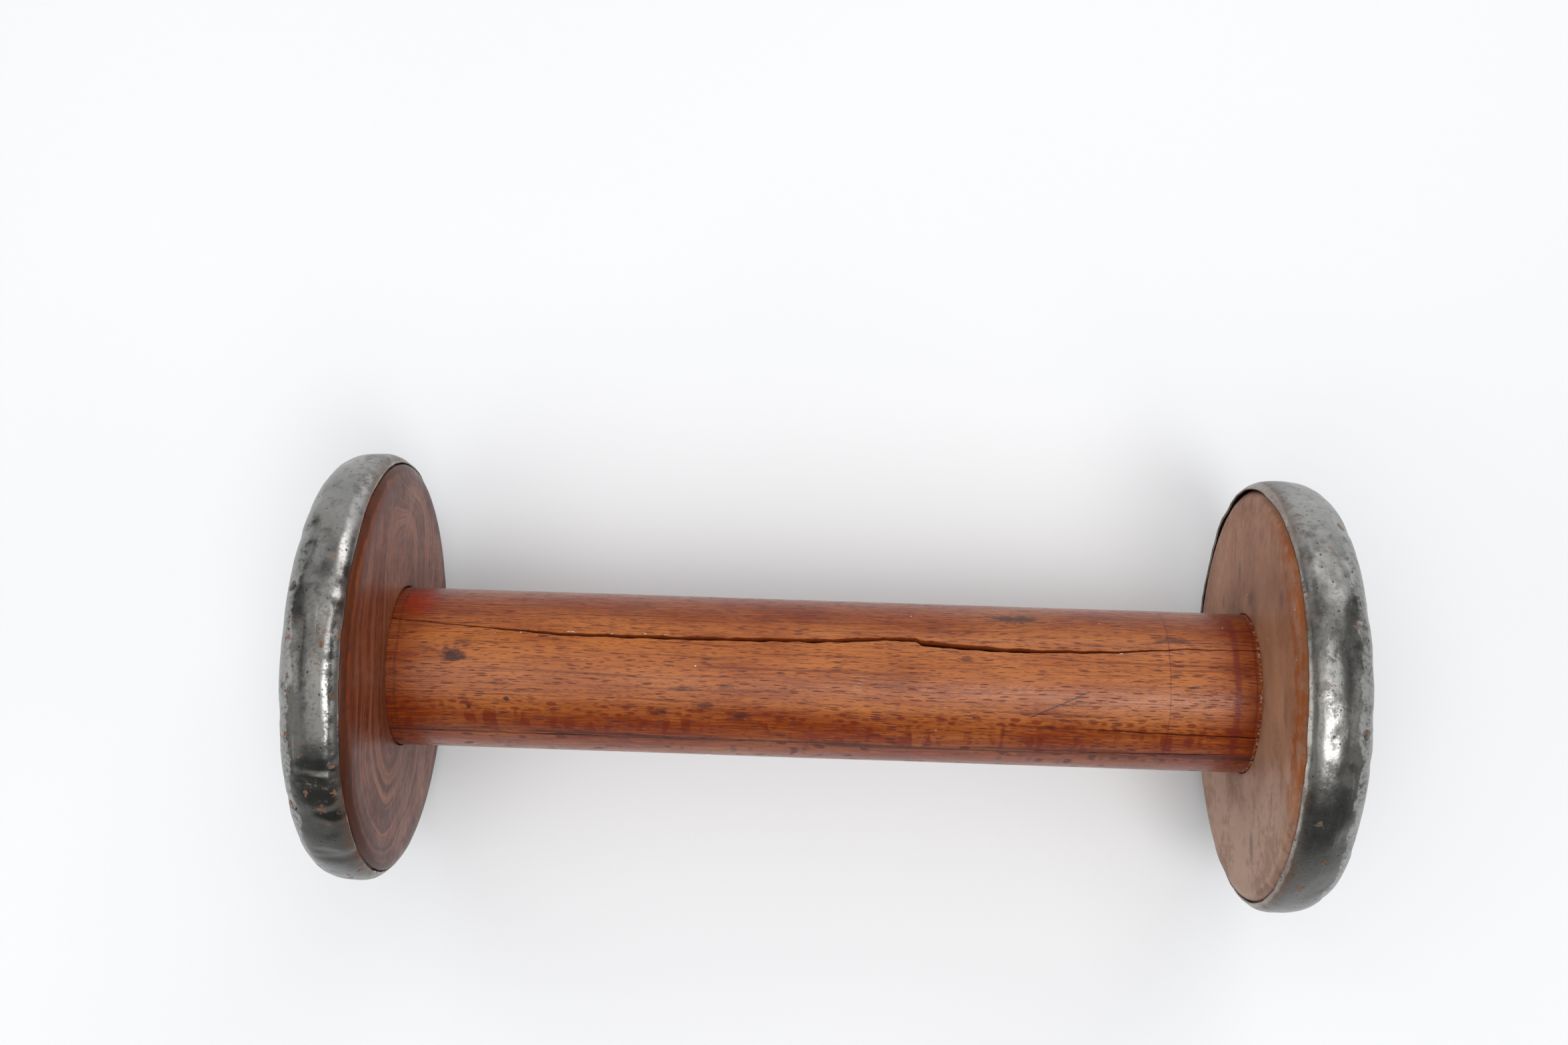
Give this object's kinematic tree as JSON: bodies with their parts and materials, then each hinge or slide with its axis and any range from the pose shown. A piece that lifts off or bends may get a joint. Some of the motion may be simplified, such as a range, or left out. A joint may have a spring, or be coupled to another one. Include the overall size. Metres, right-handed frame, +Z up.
{
  "type": "textile bobbin",
  "caption": "Long wooden yarn bobbin with a bored barrel between two thick round heads, each bound by a folded steel rim.",
  "frame": {"origin": "on the spindle axis, midway between the two end faces, which is the centre of the bounding box", "axes": "+X along the spindle axis, from the left head to the right head; +Z up with the bobbin lying on its two rims; +Y away from the viewer"},
  "size_m": [0.2928, 0.128, 0.128],
  "materials": {
    "barrel_beech": "old amber varnish, half gloss, with dark ray flecks, stains and cracks along the grain",
    "head_wood": "brown polished wood, satin, with a grey sheen",
    "rim_steel": "dark worn sheet steel with bright edges, dents and rust spots",
    "bush_steel": "dark oiled steel, worn bright round the bore",
    "fastener_steel": "dark steel with rusty slots"
  },
  "bodies": {
    "root": {"barrel": "barrel_beech", "left_inner_ply": "head_wood", "left_outer_ply": "head_wood", "left_rim_band": "rim_steel", "left_spindle_bush": "bush_steel", "left_bush_screw_1": "fastener_steel", "left_bush_screw_2": "fastener_steel", "left_bush_screw_3": "fastener_steel", "left_band_tack_1": "fastener_steel", "left_band_tack_2": "fastener_steel", "left_band_tack_3": "fastener_steel", "left_band_tack_4": "fastener_steel", "left_band_tack_5": "fastener_steel", "left_band_tack_6": "fastener_steel", "right_inner_ply": "head_wood", "right_outer_ply": "head_wood", "right_rim_band": "rim_steel", "right_spindle_bush": "bush_steel", "right_bush_screw_1": "fastener_steel", "right_bush_screw_2": "fastener_steel", "right_bush_screw_3": "fastener_steel", "right_band_tack_1": "fastener_steel", "right_band_tack_2": "fastener_steel", "right_band_tack_3": "fastener_steel", "right_band_tack_4": "fastener_steel", "right_band_tack_5": "fastener_steel", "right_band_tack_6": "fastener_steel"}
  },
  "joints": []
}
